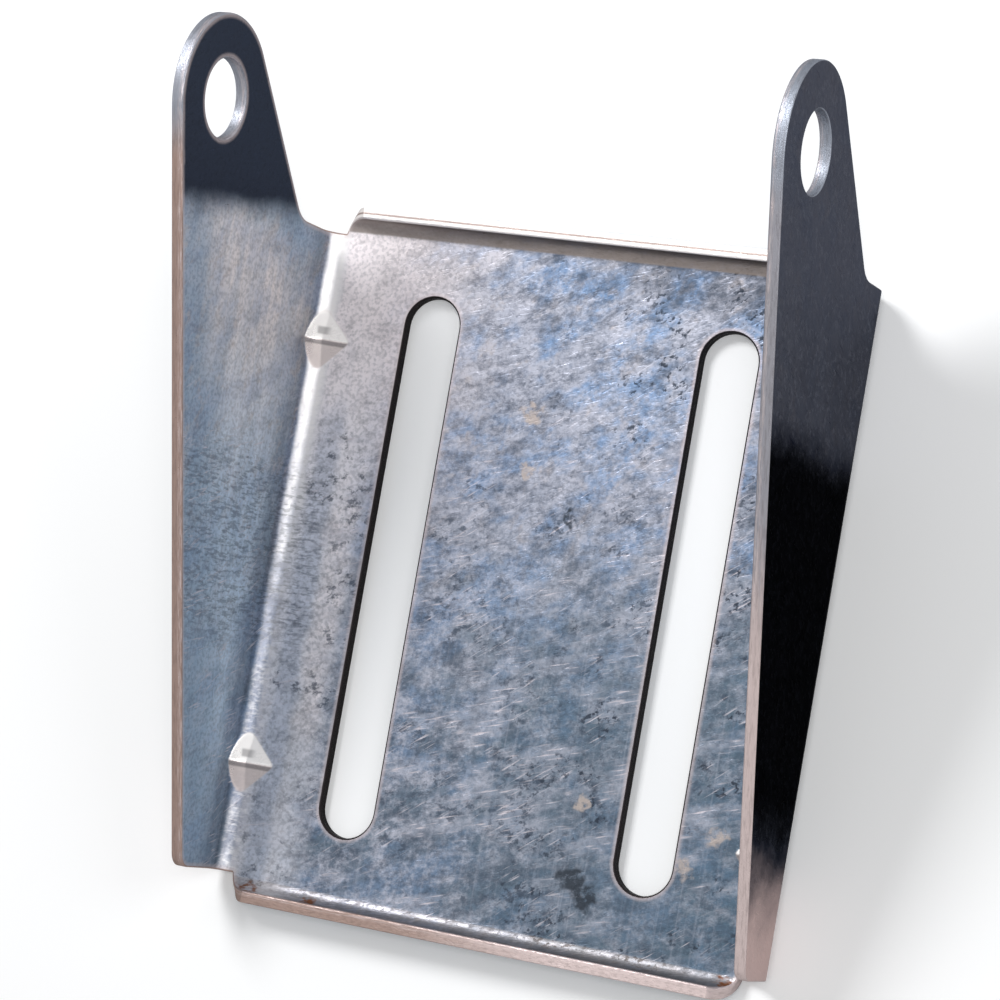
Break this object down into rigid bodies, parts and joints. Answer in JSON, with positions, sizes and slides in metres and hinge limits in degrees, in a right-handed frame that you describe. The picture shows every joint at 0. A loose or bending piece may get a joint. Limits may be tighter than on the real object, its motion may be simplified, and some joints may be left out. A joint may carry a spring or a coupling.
{
  "type": "stamped metal bracket",
  "caption": "Folded sheet steel roller bracket with two tapering side tabs pierced for a shaft, long mounting slots in the web and turned-up stiffening lips.",
  "frame": {"origin": "centre of the mounting face, which is the back of the web", "axes": "+X across the bracket along the shaft, +Y up the web towards the tabs, +Z out of the mounting face towards the roller"},
  "size_m": [0.1388, 0.1919, 0.0795],
  "materials": {
    "zinc_plated_steel": "zinc plated, mottled satin"
  },
  "bodies": {
    "root": {"bracket": "zinc_plated_steel"}
  },
  "joints": []
}
